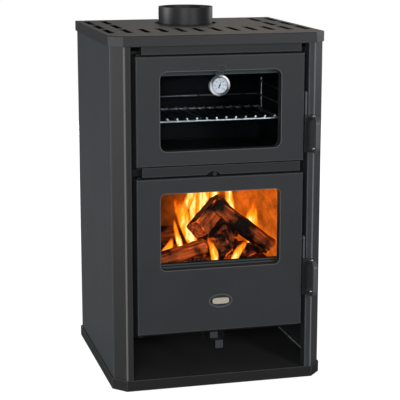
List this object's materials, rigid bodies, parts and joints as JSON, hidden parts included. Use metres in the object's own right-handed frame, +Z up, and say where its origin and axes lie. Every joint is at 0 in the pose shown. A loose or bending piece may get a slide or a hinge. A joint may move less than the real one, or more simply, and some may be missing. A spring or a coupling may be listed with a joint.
{
  "type": "wood-burning stove with oven",
  "caption": "Free-standing wood-burning stove with a glazed oven over a glazed firebox, a log store below and a round flue collar on its slotted top.",
  "frame": {"origin": "middle of the base's underside, on the floor", "axes": "+Z up, the doors face -Y, +X to the right of a person facing them"},
  "size_m": [0.57, 0.569, 0.969],
  "materials": {
    "side_enamel": "satin charcoal enamel",
    "lid_enamel": "satin charcoal enamel",
    "base_enamel": "satin charcoal enamel",
    "store_paint": "matt black heat paint",
    "door_enamel": "satin charcoal enamel",
    "liner_paint": "matt black heat paint",
    "rail_paint": "satin black heat paint",
    "frame_paint": "matt black heat paint",
    "body_steel": "sooty black steel",
    "flue_paint": "satin black heat paint",
    "oven_enamel": "glossy black oven enamel",
    "rack_chrome": "bright plated wire",
    "firebrick": "dry fired clay",
    "baffle_plate": "pressed vermiculite",
    "grate_iron": "rough cast",
    "ash_steel": "galvanised sheet",
    "slide_steel": "bright rolled strip",
    "knob_chrome": "polished",
    "door_glass": "clear ceramic glass",
    "retainer_paint": "matt black heat paint",
    "seal_rope": "braided glass-fibre rope",
    "latch_steel": "satin black",
    "bow_grip": "satin grey",
    "bright_steel": "polished",
    "thermometer_chrome": "polished",
    "strap_steel": "bright strip",
    "dial_enamel": "matt white",
    "lens_glass": "clear",
    "needle_paint": "matt black",
    "badge_metal": "satin, plain"
  },
  "bodies": {
    "stove": {"base_tray": "base_enamel", "store_floor": "store_paint", "side_panel_left": "side_enamel", "side_panel_right": "side_enamel", "rear_panel": "store_paint", "top_plate": "lid_enamel", "casing_screws": "bright_steel", "flue_collar": "flue_paint", "store_ceiling": "store_paint", "body_left_wall": "body_steel", "body_right_wall": "body_steel", "body_back_wall": "body_steel", "body_top_plate": "body_steel", "body_floor_plate": "body_steel", "front_frame": "frame_paint", "top_rail": "rail_paint", "middle_rail": "rail_paint", "oven_box": "oven_enamel", "oven_rack_runners": "rack_chrome", "smoke_baffle": "baffle_plate", "firebrick_left": "firebrick", "firebrick_right": "firebrick", "firebrick_back": "firebrick", "grate_shelf": "body_steel", "fire_grate": "grate_iron", "air_slide_guides": "slide_steel", "hinge_lugs": "frame_paint", "hinge_pins": "bright_steel", "latch_catches": "frame_paint"},
    "oven_door": {"oven_door_panel": "door_enamel", "oven_door_liner": "liner_paint", "oven_door_glass": "door_glass", "oven_glass_retainers": "retainer_paint", "oven_door_seal": "seal_rope", "oven_latch_pivot": "bright_steel", "thermometer_bracket": "strap_steel", "thermometer_case": "thermometer_chrome", "thermometer_dial": "dial_enamel", "thermometer_lens": "lens_glass"},
    "fire_door": {"fire_door_panel": "door_enamel", "fire_door_liner": "liner_paint", "fire_door_glass": "door_glass", "fire_glass_retainers": "retainer_paint", "fire_door_seal": "seal_rope", "fire_latch_pivot": "bright_steel", "badge_plate": "badge_metal"},
    "oven_latch": {"oven_latch_lever": "latch_steel", "oven_handle_bow": "bow_grip", "oven_handle_ferrules": "bright_steel"},
    "fire_latch": {"fire_latch_lever": "latch_steel", "fire_handle_bow": "bow_grip", "fire_handle_ferrules": "bright_steel"},
    "needle": {"thermometer_needle": "needle_paint"},
    "rack": {"oven_rack": "rack_chrome"},
    "drawer": {"ash_drawer": "ash_steel"},
    "damper": {"damper_rod": "knob_chrome", "damper_plate": "slide_steel"},
    "primary_air": {"primary_air_slide": "slide_steel"},
    "secondary_air": {"secondary_air_slide": "slide_steel"}
  },
  "joints": [
    {"name": "oven_door_swing", "type": "hinge", "parent": "stove", "child": "oven_door", "pos_m": [-0.21554, -0.251, 0.765], "axis": [0, 0, -1], "range_deg": [0, 115]},
    {"name": "fire_door_swing", "type": "hinge", "parent": "stove", "child": "fire_door", "pos_m": [-0.21554, -0.251, 0.3815], "axis": [0, 0, -1], "range_deg": [0, 115]},
    {"name": "oven_latch_turn", "type": "hinge", "parent": "oven_door", "child": "oven_latch", "pos_m": [0.22704, -0.253, 0.765], "axis": [-1, 0, 0], "range_deg": [0, 28]},
    {"name": "fire_latch_turn", "type": "hinge", "parent": "fire_door", "child": "fire_latch", "pos_m": [0.22704, -0.253, 0.3815], "axis": [-1, 0, 0], "range_deg": [0, 28]},
    {"name": "needle_turn", "type": "hinge", "parent": "oven_door", "child": "needle", "pos_m": [0, -0.242, 0.7925], "axis": [0, 1, 0], "range_deg": [-158, 112]},
    {"name": "oven_rack_slide", "type": "slide", "parent": "stove", "child": "rack", "axis": [0, -1, 0], "range_m": [-0.012, 0.006]},
    {"name": "ash_drawer_slide", "type": "slide", "parent": "stove", "child": "drawer", "axis": [0, -1, 0], "range_m": [-0.02, 0.012]},
    {"name": "damper_pull", "type": "slide", "parent": "stove", "child": "damper", "axis": [0, -1, 0], "range_m": [0, 0.055]},
    {"name": "primary_air_pull", "type": "slide", "parent": "stove", "child": "primary_air", "axis": [0, -1, 0], "range_m": [0, 0.05]},
    {"name": "secondary_air_pull", "type": "slide", "parent": "stove", "child": "secondary_air", "axis": [0, -1, 0], "range_m": [0, 0.05]}
  ]
}
